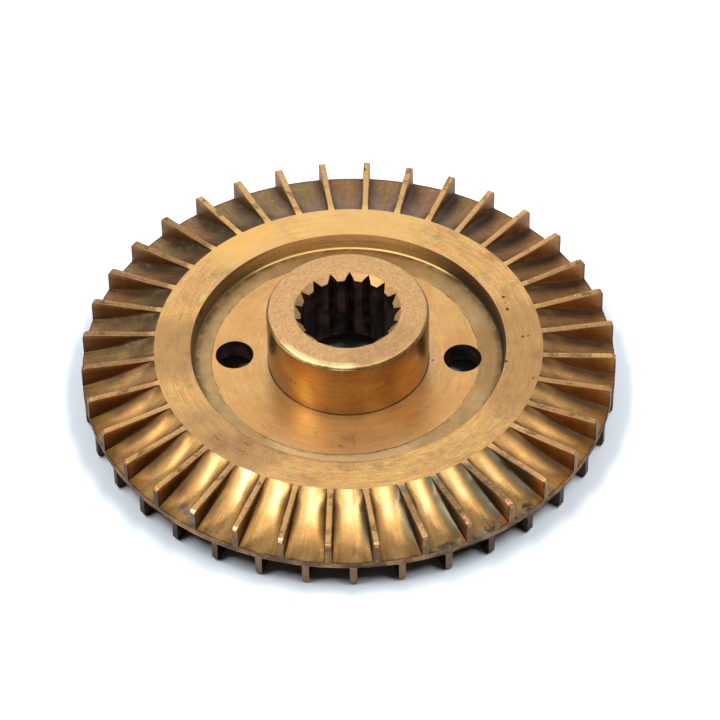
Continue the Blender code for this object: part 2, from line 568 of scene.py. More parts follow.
def bore(face_top, top_height, low_height):
    """Serrated bore with its entry chamfers; returns the loops at the hub face and underside."""
    bm = face_top.bm
    outline = tooth_outline()

    def loop(radius_of, height_of):
        made = []
        for radius, angle in outline:
            wide = radius_of(radius)
            vert = face_top.vert(wide, angle, 0)
            vert.co.z = height_of(radius)
            made.append(vert)
        return made

    mouth_r = GROOVE_ROOT_R + 0.02 * MM
    rings = [loop(lambda r: mouth_r, lambda r: top_height)]
    for share in (0.35, 0.7):
        rings.append(loop(lambda r, s=share: mouth_r + (r - mouth_r) * s,
                          lambda r, s=share: top_height - (mouth_r - r) * s))
    rings.append(loop(lambda r: r, lambda r: top_height - (mouth_r - r)))
    for share in (0.12, 0.35, 0.65, 0.88):
        rings.append(loop(lambda r: r, lambda r, s=share: (top_height - (mouth_r - r)) * (1 - s)
                          + (low_height + (mouth_r - r)) * s))
    rings.append(loop(lambda r: r, lambda r: low_height + (mouth_r - r)))
    rings.append(loop(lambda r: mouth_r, lambda r: low_height))
    for index, (above, below) in enumerate(zip(rings, rings[1:])):
        material = HUB_FACE if index < 3 else BROACHED
        face_top.band(below, above, material)
    return rings[0], rings[-1]


def hub(face, mouth_loop):
    """Hub from its foot up to the hub face; returns the foot's loop."""
    foot = face.ring(HUB_R + HUB_FILLET, RECESS_DEPTH)
    outer = foot
    for i in range(1, 4):
        angle = math.pi / 2 * i / 3
        inner = face.ring(HUB_R + HUB_FILLET * (1 - math.sin(angle)),
                          RECESS_DEPTH - HUB_FILLET * (1 - math.cos(angle)))
        face.band(inner, outer, HUB_SIDE)
        outer = inner
    rise = HUB_TOP - THICKNESS
    for share in (0.2, 0.4, 0.6, 0.8, 1.0):
        depth = (RECESS_DEPTH - HUB_FILLET) * (1 - share) - (rise - HUB_ROUNDING) * share
        inner = face.ring(HUB_R, depth)
        face.band(inner, outer, HUB_SIDE)
        outer = inner
    for i in range(1, 7):
        angle = math.pi / 2 * i / 6
        inner = face.ring(HUB_R - HUB_ROUNDING * (1 - math.cos(angle)),
                          -rise + HUB_ROUNDING * (1 - math.sin(angle)))
        face.band(inner, outer, HUB_SIDE if i < 5 else HUB_FACE)
        outer = inner
    face.zip(mouth_loop, outer, HUB_FACE)
    return foot


def land_edge(edge):
    """True where a channel cuts into the flat land."""
    return all(abs(vert.co.xy.length - LAND_OUTER_R) < 0.15 * MM
               and min(abs(vert.co.z), abs(vert.co.z - THICKNESS)) < 0.002 * MM
               for vert in edge.verts)


def build_casting(sizes):
    bm = bmesh.new()
    top = Face(bm, True, TOP_VANE_ANGLE, 7, sizes)
    low = Face(bm, False, BOTTOM_VANE_ANGLE, 11, sizes)
    top_land, top_rim = bladed_rim(top)
    low_land, low_rim = bladed_rim(low)
    rim_edge(top, low, top_rim, low_rim)
    top_floor = recess(top, top_land)
    low_floor = recess(low, low_land)
    hub_mouth, low_mouth = bore(top, HUB_TOP, RECESS_DEPTH)
    foot = hub(top, hub_mouth)
    top_holes = web_floor(top, top_floor, foot)
    low_holes = web_floor(low, low_floor, low_mouth)
    balance_holes(top, low, top_holes, low_holes)
    bmesh.ops.remove_doubles(bm, verts=bm.verts[:], dist=0.002 * MM)
    bmesh.ops.dissolve_degenerate(bm, dist=0.001 * MM, edges=bm.edges[:])
    bmesh.ops.recalc_face_normals(bm, faces=bm.faces[:])
    for edge in bm.edges:
        edge.smooth = edge.calc_face_angle(math.pi) < SHARP_ANGLE and not land_edge(edge)
    mesh = bpy.data.meshes.new("impeller_casting")
    bm.to_mesh(mesh)
    bm.free()
    return mesh


# Materials

def lumps(size):
    """Scale of a noise whose lumps are about size across."""
    return 0.5 / size


def polar_place(add):
    """Place on the part, the same in plan, distance from the axis and direction out from it."""
    place = add("ShaderNodeTexCoord", {}, "Object")
    flat = add("ShaderNodeVectorMath", {"operation": "MULTIPLY", 0: place, 1: (1, 1, 0)})
    radius = add("ShaderNodeVectorMath", {"operation": "LENGTH", 0: flat})
    around = add("ShaderNodeVectorMath", {"operation": "NORMALIZE", 0: flat})
    return place, flat, radius, around


def ring_noise(add, polar, width, long, detail=3.0):
    """Noise drawn out round the axis into streaks of a given width and length."""
    place, flat, radius, around = polar
    height = add("ShaderNodeSeparateXYZ", {0: place}, "Z")
    outward = add("ShaderNodeMath", {"operation": "MULTIPLY_ADD", 0: height, 1: 1.3, 2: radius})
    across = add("ShaderNodeMath", {"operation": "MULTIPLY", 0: outward, 1: 1 / width})
    lift = add("ShaderNodeCombineXYZ", {"Z": across})
    turns = 30 * MM / long
    spot = add("ShaderNodeVectorMath", {"operation": "MULTIPLY_ADD", 0: around,
                                        1: (turns, turns, 0), 2: lift})
    return add("ShaderNodeTexNoise", {"Vector": spot, "Scale": 1.0, "Detail": detail,
                                      "Roughness": 0.65})


def ray_noise(add, polar, width, long):
    """Noise drawn out from the axis into streaks that run along the channels."""
    place, flat, radius, around = polar
    along = add("ShaderNodeMath", {"operation": "MULTIPLY", 0: radius, 1: 1 / long})
    lift = add("ShaderNodeCombineXYZ", {"Z": along})
    turns = 43 * MM / width
    spot = add("ShaderNodeVectorMath", {"operation": "MULTIPLY_ADD", 0: around,
                                        1: (turns, turns, 0), 2: lift})
    return add("ShaderNodeTexNoise", {"Vector": spot, "Scale": 1.0, "Detail": 3.0,
                                      "Roughness": 0.65})


def layer(add, under, colour, amount, *where):
    """Lays a colour over another where every source passes from low to high."""
    mask = amount
    for source, low, high in where:
        step = add("ShaderNodeMapRange", {"interpolation_type": "SMOOTHSTEP", "Value": source,
                                          "From Min": low, "From Max": high})
        mask = add("ShaderNodeMath", {"operation": "MULTIPLY", 0: step, 1: mask})
    over = hex_to_linear(colour) if isinstance(colour, str) else colour
    return add("ShaderNodeMix", {"data_type": "RGBA", "Factor": mask, 6: under, 7: over})


def shade(add, colour, source, low, high):
    """Darkens or lightens a colour by a noise, times low in its dips and high on its peaks."""
    factor = add("ShaderNodeMapRange", {"Value": source, "From Min": 0.3, "From Max": 0.7,
                                        "To Min": low, "To Max": high})
    return add("ShaderNodeMix", {"data_type": "RGBA", "blend_type": "MULTIPLY", "Factor": 1.0,
                                 6: colour, 7: factor})


def tinge(add, colour, place, size, strength):
    """Lets the hue wander between olive, orange and pink, as tarnish films on brass do."""
    hue = add("ShaderNodeTexNoise", {"Vector": place, "Scale": lumps(size), "Detail": 3.0}, "Color")
    return add("ShaderNodeMix", {"data_type": "RGBA", "blend_type": "OVERLAY", "Factor": strength,
                                 6: colour, 7: hue})


def spots(add, place, height, *marks):
    """Mask of soft frayed marks at one height, each given by x, y and radius in millimetres."""
    fray = add("ShaderNodeTexNoise", {"Vector": place, "Scale": lumps(0.5 * MM)}, "Color")
    frayed = add("ShaderNodeVectorMath", {"operation": "MULTIPLY_ADD", 0: fray,
                                          1: (FRAY, FRAY, FRAY), 2: place})
    mask = 0.0
    for x, y, size in marks:
        centre = Vector((x, y, height)) * MM + Vector((FRAY, FRAY, FRAY)) / 2
        away = add("ShaderNodeVectorMath", {"operation": "DISTANCE", 0: frayed, 1: centre})
        spot = add("ShaderNodeMapRange", {"interpolation_type": "SMOOTHSTEP", "Value": away,
                                          "From Min": size * MM, "From Max": size * MM * 0.3})
        mask = add("ShaderNodeMath", {"operation": "MAXIMUM", 0: spot, 1: mask})
    return mask


def finish(add, colour, roughness, metallic, *heights):
    """Metal shader with relief; heights are pairs of a height socket and its depth in metres."""
    settings = {"Base Color": colour, "Roughness": roughness, "Metallic": metallic}
    for height, depth in heights:
        relief = {"Strength": 1.0, "Distance": depth, "Height": height}
        if "Normal" in settings:
            relief["Normal"] = settings["Normal"]
        settings["Normal"] = add("ShaderNodeBump", relief)
    add("ShaderNodeOutputMaterial", {"Surface": add("ShaderNodeBsdfPrincipled", settings)})


def faced_brass(colours):
    """Land and vane tops, faced on a lathe and handled since: sandy gold, ringed, pitted."""
    material, add = new_material("faced_brass")
    polar = polar_place(add)
    place, flat, radius, around = polar
    crest = add("ShaderNodeAttribute", {"attribute_name": "crest"}, "Fac")
    fine = ring_noise(add, polar, 0.2 * MM, 2.5 * MM, 4.0)
    wide = ring_noise(add, polar, 0.8 * MM, 14 * MM)
    speck, cloud, patch = (
        add("ShaderNodeTexNoise", {"Vector": place, "Scale": lumps(size), "Detail": 3.0,
                                   "Roughness": 0.65})
        for size in (0.22 * MM, 1.6 * MM, 7 * MM))
    colour = layer(add, colours.bare, "A17F4D", 0.75, (cloud, 0.45, 0.75))
    colour = layer(add, colour, "D6A964", 0.7, (patch, 0.45, 0.65))
    colour = tinge(add, colour, place, 1.2 * MM, 0.2)
    colour = shade(add, colour, fine, 0.74, 1.26)
    colour = shade(add, colour, wide, 0.88, 1.12)
    colour = shade(add, colour, speck, 0.86, 1.14)
    aside = spots(add, place, 10.6, (33, 2, 15), (31, -9, 12), (-33, -2, 12))
    colour = layer(add, colour, "8F6A44", 0.55, (aside, 0, 1))
    colour = layer(add, colour, "9A7650", 0.5, (spots(add, place, 10.6, (-22, -25, 15)), 0, 1))
    # Painted highlights: a lighter patch at the back of the land, and a painted sheen along its back left edge
    bright = spots(add, place, 10.6, (0, 33, 19), (-20, 27, 12))
    colour = layer(add, colour, "E2B670", 0.6, (bright, 0, 1))
    sheen = spots(add, place, 10.6, (-27, 23, 5), (-23, 27, 5), (-18, 30, 4))
    colour = layer(add, colour, "EDB24E", 0.55, (sheen, 0, 1), (patch, 0.3, 0.6))
    scuff = spots(add, place, 10.6, (-18, -26, 4.5), (-22.8, -25.4, 4), (-13, -28, 4))
    colour = layer(add, colour, "86503F", 0.6, (scuff, 0, 1.2), (patch, 0.4, 0.6), (fine, 0.36, 0.56))
    colour = layer(add, colour, "4A2C1E", 0.75, (scuff, 0, 0.8), (speck, 0.55, 0.64), (fine, 0.42, 0.5))
    dirt = spots(add, place, 10.6, (-15, -26, 9), (-5, -29.5, 8), (6, -29, 7))
    colour = layer(add, colour, "7A5030", 0.6, (dirt, 0, 0.6), (radius, 30.3 * MM, 29.5 * MM),
                   (fine, 0.42, 0.55))
    colour = layer(add, colour, "B28654", 0.5, (crest, 0.2, 1))
    sides = spots(add, place, 10.6, (-38, 20, 21), (-44, -2, 15), (22, -37, 15))
    colour = layer(add, colour, "7C5E3E", 0.8, (crest, 0.2, 1), (sides, 0, 0.6))
    right = spots(add, place, 10.6, (44, -16, 14), (42, 14, 15))
    colour = layer(add, colour, "9A764A", 0.7, (crest, 0.2, 1), (right, 0, 0.6))
    colour = layer(add, colour, "5A4430", 0.7, (crest, 0.2, 1), (cloud, 0.52, 0.66))
    colour = layer(add, colour, "E0B483", 0.6, (crest, 0.2, 1), (speck, 0.56, 0.66))
    nick = spots(add, place, 10.6, (45.4, -20, 1.1), (1.2, 47.8, 0.9), (30, -39.6, 0.8), (-27.9, -41.2, 1.1))
    colour = layer(add, colour, "2E2420", 0.9, (nick, 0, 0.6))
    # Worn front left vane tips with a painted glint on their corners
    worn_tip_glint = spots(add, place, 10.3, (-26.6, -42.2, 1.5), (-18.9, -46.2, 1.5), (-10.3, -48.8, 1.2))
    colour = layer(add, colour, "F6DE9C", 0.9, (worn_tip_glint, 0, 0.5), (radius, 49.2 * MM, 49.5 * MM))
    # The rubbed marks: worn front right vane tips with a painted copper pink glint
    rubbed = spots(add, place, 10.3, (6.8, -49.3, 1.8), (14.7, -45.8, 2.2), (23.2, -43.6, 2.4), (30.7, -39, 2),
                   (36.8, -33.4, 1.6))
    colour = layer(add, colour, "E0A47C", 0.75, (rubbed, 0, 0.6), (speck, 0.4, 0.52))
    verdigris = spots(add, place, 10.6, (6, -36.6, 1.3), (11, -36, 1.6), (17, -33.5, 1.5), (22, -30.5, 1.3))
    colour = layer(add, colour, "50695E", 0.75, (verdigris, 0, 0.6), (crest, 0, 0.3), (speck, 0.4, 0.5))
    colour = layer(add, colour, "5C3A1E", 0.85, (speck, 0.68, 0.78))
    pits = spots(add, place, 10.6, (28.9, 13, 0.5), (29.6, 9.8, 0.5), (29.3, 11.4, 0.25), (32.6, 2.7, 0.4),
                 (33.6, 2.8, 0.3), (34.5, -8.1, 0.35), (29.4, -3.8, 0.5))
    colour = layer(add, colour, "3A2416", 0.85, (pits, 0, 0.7))
    roughness = add("ShaderNodeMapRange", {"Value": fine, "To Min": 0.3, "To Max": 0.5})
    finish(add, colour, roughness, 0.88, (fine, 0.012 * MM), (speck, 0.014 * MM))
    return material


def turned_web(colours):
    """Recess floor: two passes of the turning tool, the outer one duller and more olive."""
    material, add = new_material("turned_brass_web")
    polar = polar_place(add)
    place, flat, radius, around = polar
    fine = ring_noise(add, polar, 0.3 * MM, 7 * MM)
    wide = ring_noise(add, polar, 1.3 * MM, 12 * MM)
    speck, cloud, patch = (
        add("ShaderNodeTexNoise", {"Vector": place, "Scale": lumps(size), "Detail": 3.0,
                                   "Roughness": 0.65})
        for size in (0.24 * MM, 1.4 * MM, 6 * MM))
    off = add("ShaderNodeVectorMath", {"operation": "DISTANCE", 0: flat, 1: (-0.65 * MM, 0, 0)})
    ragged = ring_noise(add, polar, 0.6 * MM, 3 * MM, 3.0)
    edge = add("ShaderNodeMath", {"operation": "MULTIPLY_ADD", 0: ragged, 1: 0.7 * MM, 2: off})
    edge = add("ShaderNodeMath", {"operation": "ADD", 0: edge, 1: 0.2 * MM})
    front = spots(add, place, 7.3, (0, -24, 17))
    colour = layer(add, hex_to_linear("CC9E62"), "C28C50", 0.7, (patch, 0.4, 0.65))
    colour = layer(add, colour, "E2B478", 0.9, (front, 0, 0.8))
    grime = layer(add, hex_to_linear("B09262"), "9A8258", 0.7, (cloud, 0.4, 0.65))
    grime = layer(add, grime, "B28858", 0.7, (patch, 0.5, 0.65))
    dim = spots(add, place, 7.3, (0, 27, 17), (27, 0, 12))
    grime = layer(add, grime, "8E7044", 0.6, (dim, 0, 0.8))
    grime = layer(add, grime, "DABA8A", 0.8, (front, 0, 0.6))
    colour = layer(add, colour, grime, 0.92, (edge, 25.5 * MM, 25.8 * MM))
    colour = layer(add, colour, "C4A078", 0.6, (radius, 16.6 * MM, 15.8 * MM))
    colour = tinge(add, colour, place, 1.0 * MM, 0.15)
    colour = shade(add, colour, fine, 0.93, 1.07)
    colour = shade(add, colour, wide, 0.92, 1.08)
    colour = shade(add, colour, speck, 0.92, 1.08)
    colour = layer(add, colour, "7A5E3C", 0.4, (edge, 25.5 * MM, 25.65 * MM),
                   (edge, 26.4 * MM, 25.7 * MM), (cloud, 0.45, 0.65))
    colour = layer(add, colour, "3E2816", 0.75, (edge, 25.46 * MM, 25.54 * MM),
                   (edge, 25.68 * MM, 25.58 * MM), (wide, 0.42, 0.56))
    # Painted shade darkening the floor towards the foot of the recess wall
    colour = layer(add, colour, "594329", 0.75, (radius, 27.3 * MM, 28.7 * MM), (cloud, 0.3, 0.6))
    smudge = spots(add, place, 7.3, (0.6, -20.6, 1.8), (1.2, -22, 1.3), (-5, -20, 1.2))
    colour = layer(add, colour, "82502C", 0.45, (smudge, 0, 1), (cloud, 0.35, 0.6))
    colour = layer(add, colour, "5C3A1E", 0.8, (speck, 0.7, 0.8))
    pits = spots(add, place, 7.3, (15.8, -0.6, 0.35), (-0.8, -22.8, 0.25), (-0.4, -22.9, 0.2),
                 (-21, -3, 0.25))
    colour = layer(add, colour, "3A2416", 0.8, (pits, 0, 0.7))
    roughness = add("ShaderNodeMapRange", {"Value": edge, "From Min": 25.4 * MM,
                                           "From Max": 26 * MM, "To Min": 0.33, "To Max": 0.5})
    step = add("ShaderNodeMapRange", {"Value": edge, "From Min": 25.45 * MM, "From Max": 25.7 * MM})
    finish(add, colour, roughness, 0.88, (fine, 0.005 * MM), (speck, 0.008 * MM), (step, 0.04 * MM))
    return material


def turned_wall(colours):
    """Recess wall, turned and left to tarnish: red brown by the land, olive down at its foot."""
    material, add = new_material("tarnished_turned_brass")
    polar = polar_place(add)
    place = polar[0]
    fine = ring_noise(add, polar, 0.28 * MM, 9 * MM)
    wide = ring_noise(add, polar, 0.9 * MM, 16 * MM)
    speck, patch = (
        add("ShaderNodeTexNoise", {"Vector": place, "Scale": lumps(size), "Detail": 3.0,
                                   "Roughness": 0.65})
        for size in (0.25 * MM, 4 * MM))
    height = add("ShaderNodeSeparateXYZ", {0: place}, "Z")
    middle = add("ShaderNodeMath", {"operation": "SUBTRACT", 0: height, 1: THICKNESS / 2})
    level = add("ShaderNodeMath", {"operation": "ABSOLUTE", 0: middle})
    reach = add("ShaderNodeMath", {"operation": "MULTIPLY_ADD", 0: patch, 1: 1.6 * MM, 2: level})
    colour = layer(add, hex_to_linear("B8985E"), "D6A46C", 1.0, (reach, 4.2 * MM, 5.2 * MM))
    right = add("ShaderNodeSeparateXYZ", {0: place}, "X")
    # Painted shade on the wall's right side, a little redder near its top, and on its left side
    colour = layer(add, colour, "241C12", 0.95, (right, 6 * MM, 23 * MM))
    colour = layer(add, colour, "6A4428", 0.6, (right, 14 * MM, 26 * MM), (level, 4 * MM, 4.8 * MM))
    colour = layer(add, colour, "5C4628", 0.88, (right, -12 * MM, -24 * MM))
    # Painted highlight along the foot of the wall at the back
    back_foot_highlight = spots(add, place, 7.5, (0, 29, 26))
    colour = layer(add, colour, "E8C47C", 0.8, (level, 2.35 * MM, 2.1 * MM), (back_foot_highlight, 0.1, 0.5))
    colour = tinge(add, colour, place, 1.0 * MM, 0.15)
    colour = shade(add, colour, fine, 0.8, 1.2)
    colour = shade(add, colour, wide, 0.85, 1.15)
    colour = shade(add, colour, speck, 0.88, 1.12)
    stain = spots(add, place, 10, (-28.1, 8.4, 1.5), (-28.6, 6, 1.0))
    colour = layer(add, colour, "2E2A1C", 0.7, (stain, 0, 1))
    roughness = add("ShaderNodeMapRange", {"Value": fine, "To Min": 0.45, "To Max": 0.6})
    finish(add, colour, roughness, 0.6, (fine, 0.015 * MM))
    return material


def turned_hub(colours):
    """Hub side, turned smooth and wiped often: deep amber that mirrors the web below it."""
    material, add = new_material("turned_brass_hub")
    polar = polar_place(add)
    place, flat, radius, around = polar
    fine = ring_noise(add, polar, 0.25 * MM, 10 * MM)
    wide = ring_noise(add, polar, 0.9 * MM, 16 * MM)
    speck, patch = (
        add("ShaderNodeTexNoise", {"Vector": place, "Scale": lumps(size), "Detail": 3.0,
                                   "Roughness": 0.65})
        for size in (0.22 * MM, 3 * MM))
    height = add("ShaderNodeSeparateXYZ", {0: place}, "Z")
    colour = layer(add, hex_to_linear("92734A"), "7C5E38", 0.8, (patch, 0.4, 0.65))
    rubbed = spots(add, place, 11.5, (13, -7.5, 9))
    colour = layer(add, colour, "BE9254", 0.7, (rubbed, 0, 1))
    # Painted highlight: a yellower tint where the hub side's bright stripe falls
    highlight_stripe_tint = spots(add, place, 11.5, (-8.2, -12.7, 4))
    colour = layer(add, colour, "96884C", 0.7, (highlight_stripe_tint, 0, 1))
    # Painted shade: the upper hub side darker and redder
    colour = layer(add, colour, "8C6238", 0.7, (height, 14 * MM, 18.5 * MM), (patch, 0.38, 0.6))
    colour = layer(add, colour, "3A2412", 0.8, (height, 7.75 * MM, 7.4 * MM))
    colour = shade(add, colour, fine, 0.88, 1.12)
    colour = shade(add, colour, wide, 0.88, 1.12)
    # The colour called worn carries a painted highlight along the front left of the top edge
    front_left = spots(add, place, 19.2, (-7, -13, 11))
    worn = layer(add, colour, "F0D08C", 0.9, (height, 18.9 * MM, 19.2 * MM), (front_left, 0, 0.6),
                 (patch, 0.36, 0.5))
    colour = layer(add, worn, "5A3A20", 0.6, (height, 18.4 * MM, 19.0 * MM), (speck, 0.52, 0.62))
    scratch = spots(add, place, 12.3, (-10.2, -11.1, 0.7), (-9.4, -11.8, 0.5), (-12.3, -8.7, 0.4))
    colour = layer(add, colour, "3E2412", 0.8, (scratch, 0, 0.7), (fine, 0.4, 0.5))
    roughness = add("ShaderNodeMapRange", {"Value": fine, "To Min": 0.22, "To Max": 0.38})
    finish(add, colour, roughness, 0.95, (fine, 0.008 * MM))
    return material


def dull_brass(colours):
    """Hub face left to oxidise: beige with a pink cast, speckled with small dark pits."""
    material, add = new_material("oxidised_brass_face")
    polar = polar_place(add)
    place = polar[0]
    fine = ring_noise(add, polar, 0.25 * MM, 3 * MM)
    speck, cloud, patch = (
        add("ShaderNodeTexNoise", {"Vector": place, "Scale": lumps(size), "Detail": 4.0,
                                   "Roughness": 0.7})
        for size in (0.2 * MM, 0.9 * MM, 3.5 * MM))
    colour = layer(add, colours.dull, "B09060", 0.6, (cloud, 0.45, 0.7))
    colour = layer(add, colour, "C89A6C", 0.5, (patch, 0.45, 0.6))
    colour = tinge(add, colour, place, 0.5 * MM, 0.12)
    colour = shade(add, colour, fine, 0.86, 1.14)
    colour = shade(add, colour, speck, 0.7, 1.3)
    grimy = spots(add, place, 19.8, (7, -9, 5), (10, -6, 4), (3, -12, 4), (-9, 2, 2))
    colour = layer(add, colour, "7D6140", 0.65, (grimy, 0, 1), (speck, 0.45, 0.6))
    lit = spots(add, place, 19.7, (-5, -13, 10))
    colour = layer(add, colour, "EED29A", 0.8, (lit, 0, 0.7), (polar[2], 13.5 * MM, 14.1 * MM),
                   (patch, 0.34, 0.5))
    colour = layer(add, colour, "4A301C", 0.8, (speck, 0.64, 0.73))
    roughness = add("ShaderNodeMapRange", {"Value": speck, "To Min": 0.38, "To Max": 0.58})
    finish(add, colour, roughness, 0.85, (speck, 0.03 * MM), (cloud, 0.02 * MM))
    return material


def broached_brass(colours):
    """Bore and drilled holes, almost black: painted shade deep in the holes."""
    material, add = new_material("broached_brass")
    place = polar_place(add)[0]
    patch = add("ShaderNodeTexNoise", {"Vector": place, "Scale": lumps(1.5 * MM), "Detail": 4.0})
    colour = layer(add, hex_to_linear("4E3426"), "1C1412", 1.0, (patch, 0.35, 0.6))
    roughness = add("ShaderNodeMapRange", {"Value": patch, "To Min": 0.4, "To Max": 0.6})
    finish(add, colour, roughness, 0.7, (patch, 0.03 * MM))
    return material


def cast_brass(colours):
    """Sand cast channels: tarnished brown on the walls, crusted in places, with painted shade beside the walls
    and a painted highlight on the front floors.
    """
    material, add = new_material("sand_cast_brass")
    polar = polar_place(add)
    place, flat, radius, around = polar
    across, along, wall, crest = (
        add("ShaderNodeAttribute", {"attribute_name": name}, "Fac") for name in PAINT)
    aside = add("ShaderNodeMath", {"operation": "ABSOLUTE", 0: across})
    grit, fine, patch, large = (
        add("ShaderNodeTexNoise", {"Vector": place, "Scale": lumps(size), "Detail": 4.0,
                                   "Roughness": 0.65})
        for size in (0.22 * MM, 0.5 * MM, 1.6 * MM, 8 * MM))
    rays = ray_noise(add, polar, 0.4 * MM, 5 * MM)
    rear = add("ShaderNodeMapRange", {"Value": add("ShaderNodeSeparateXYZ", {0: place}, "Y"),
                                      "From Min": -36 * MM, "From Max": 20 * MM})
    film = add("ShaderNodeMath", {"operation": "MULTIPLY_ADD", 0: patch, 1: 0.9, 2: rear})
    film = add("ShaderNodeMath", {"operation": "MULTIPLY_ADD", 0: large, 1: 0.6, 2: film})
    bank = add("ShaderNodeMath", {"operation": "MULTIPLY_ADD", 0: patch, 1: 0.4, 2: aside})
    bank = add("ShaderNodeMath", {"operation": "MULTIPLY_ADD", 0: along, 1: 0.3, 2: bank})
    flat_x, flat_y, flat_z = (add("ShaderNodeSeparateXYZ", {0: place}, axis) for axis in "XYZ")
    brown = layer(add, hex_to_linear("866040"), "786844", 1.0, (large, 0.42, 0.6))
    brown = layer(add, brown, "98704A", 0.8, (fine, 0.45, 0.7))
    brown = layer(add, brown, "A26C3C", 0.5, (flat_x, 10 * MM, 36 * MM))
    # Painted shade where the back channels start at the land
    brown = layer(add, brown, "5C4430", 0.6, (flat_y, 20 * MM, 34 * MM), (along, 0.35, 0.05))
    # Painted highlight: lighter floors in the front channels near the land
    colour = layer(add, colours.cast, "E0C08A", 1.0, (flat_y, -24 * MM, -37 * MM), (along, 0.5, 0.25))
    # Painted shade darkening each floor away from its middle, which narrows the highlight
    colour = layer(add, colour, "B68C52", 0.85, (aside, 0.08, 0.46))
    colour = layer(add, colour, "BC8A48", 0.5, (rays, 0.42, 0.7))
    colour = layer(add, colour, "AC844C", 0.85, (along, 0.34, 0.56))
    colour = layer(add, colour, "906C3E", 0.45, (along, 0.85, 1.0), (patch, 0.3, 0.5))
    # Brown banks along both walls: tarnish, and painted shade that narrows the highlight
    colour = layer(add, colour, "84602F", 0.7, (bank, 0.72, 1.12))
    colour = layer(add, colour, brown, 0.85, (film, 1.0, 1.6))
    # Painted shade on both sides of the back channels
    colour = layer(add, colour, "33261A", 0.6, (flat_y, 0, 20 * MM), (aside, 0.4, 1.0))
    # Painted shade on the bank beside each vane's front facing flank, on the right and on the left
    colour = layer(add, colour, "20160C", 0.93, (flat_x, 3 * MM, 17 * MM), (across, -0.05, 0.85),
                   (along, 1.1, 0.78))
    colour = layer(add, colour, "20160C", 0.85, (flat_x, -12 * MM, -30 * MM), (across, 0.1, -0.9),
                   (along, 1.0, 0.6))
    # Painted shade beside the walls near the land
    colour = layer(add, colour, "70502C", 0.75, (aside, 0.45, 0.95), (along, 0.5, 0.2))
    # Painted shade in the corners where the floor meets the walls
    colour = layer(add, colour, "4A3018", 0.75, (aside, 0.7, 0.94))
    colour = layer(add, colour, colours.brown, 0.85, (wall, 0.4, 1.0))
    colour = layer(add, colour, "A86E38", 0.7, (wall, 0.4, 1.0), (flat_x, 22 * MM, 38 * MM))
    colour = layer(add, colour, "A87C4E", 0.6, (crest, 0.3, 1.0))
    lip = add("ShaderNodeMath", {"operation": "MULTIPLY_ADD", 0: fine, 1: 0.07, 2: along})
    colour = layer(add, colour, "3A2A1C", 0.8, (lip, 1.0, 1.035))
    colour = tinge(add, colour, place, 0.9 * MM, 0.2)
    colour = shade(add, colour, rays, 0.8, 1.2)
    colour = shade(add, colour, fine, 0.9, 1.1)
    colour = shade(add, colour, grit, 0.92, 1.08)
    # Dark flanks of the lower vanes near the rim: grime, and painted shade under the rim
    colour = layer(add, colour, "1C1916", 0.85, (flat_z, 4.9 * MM, 4.3 * MM), (wall, 0.1, 0.6),
                   (radius, 42 * MM, 47 * MM))
    front_right = spots(add, place, 7, (9, -42, 9), (20, -38, 11), (29, -32, 10))
    foot_side = layer(add, colour, colours.green, 0.8, (front_right, 0.05, 0.5), (across, 0.3, 0.8),
                      (along, 0.95, 0.65), (patch, 0.34, 0.46))
    colour = layer(add, foot_side, "405048", 0.7, (front_right, 0.1, 0.6), (along, 0.16, 0.04),
                   (aside, 0.55, 0.85), (fine, 0.4, 0.5))
    crust = spots(add, place, 6.2, (19.5, -45.6, 3.4), (26.3, -41.3, 3.2), (33.3, -36.2, 3.2))
    colour = layer(add, colour, "7E836C", 0.75, (crust, 0, 0.4), (along, 0.86, 0.93), (fine, 0.42, 0.52))
    scab = spots(add, place, 6, (19.7, -45.2, 1.4), (18.2, -45.8, 1.1), (26.8, -41, 1.3), (33.6, -35.8, 1.4))
    colour = layer(add, colour, "4A3A30", 0.85, (scab, 0, 0.5), (fine, 0.4, 0.5))
    grey = spots(add, place, 6.6, (-28.6, -37.2, 1.2), (-28, -38.6, 1.1), (-27.4, -40.2, 1.1))
    colour = layer(add, colour, "6C6468", 0.8, (grey, 0, 0.6), (fine, 0.38, 0.5))
    back_left = spots(add, place, 7, (-38, 20, 20), (-44, 4, 12), (-26, 34, 14))
    # Painted shade where the back left channels start at the land
    colour = layer(add, colour, "3C3626", 0.45, (back_left, 0, 0.7), (along, 0.5, 0.15))
    colour = layer(add, colour, "666A56", 0.4, (back_left, 0.1, 0.7), (patch, 0.5, 0.62),
                   (fine, 0.42, 0.55), (aside, 0.2, 0.8))
    colour = layer(add, colour, "3E2A1A", 0.75, (grit, 0.66, 0.76))
    roughness = add("ShaderNodeMapRange", {"Value": film, "From Min": 0.7, "From Max": 1.6,
                                           "To Min": 0.26, "To Max": 0.5})
    finish(add, colour, roughness, 0.85, (grit, 0.006 * MM), (fine, 0.01 * MM), (rays, 0.012 * MM),
           (patch, 0.02 * MM))
    return material


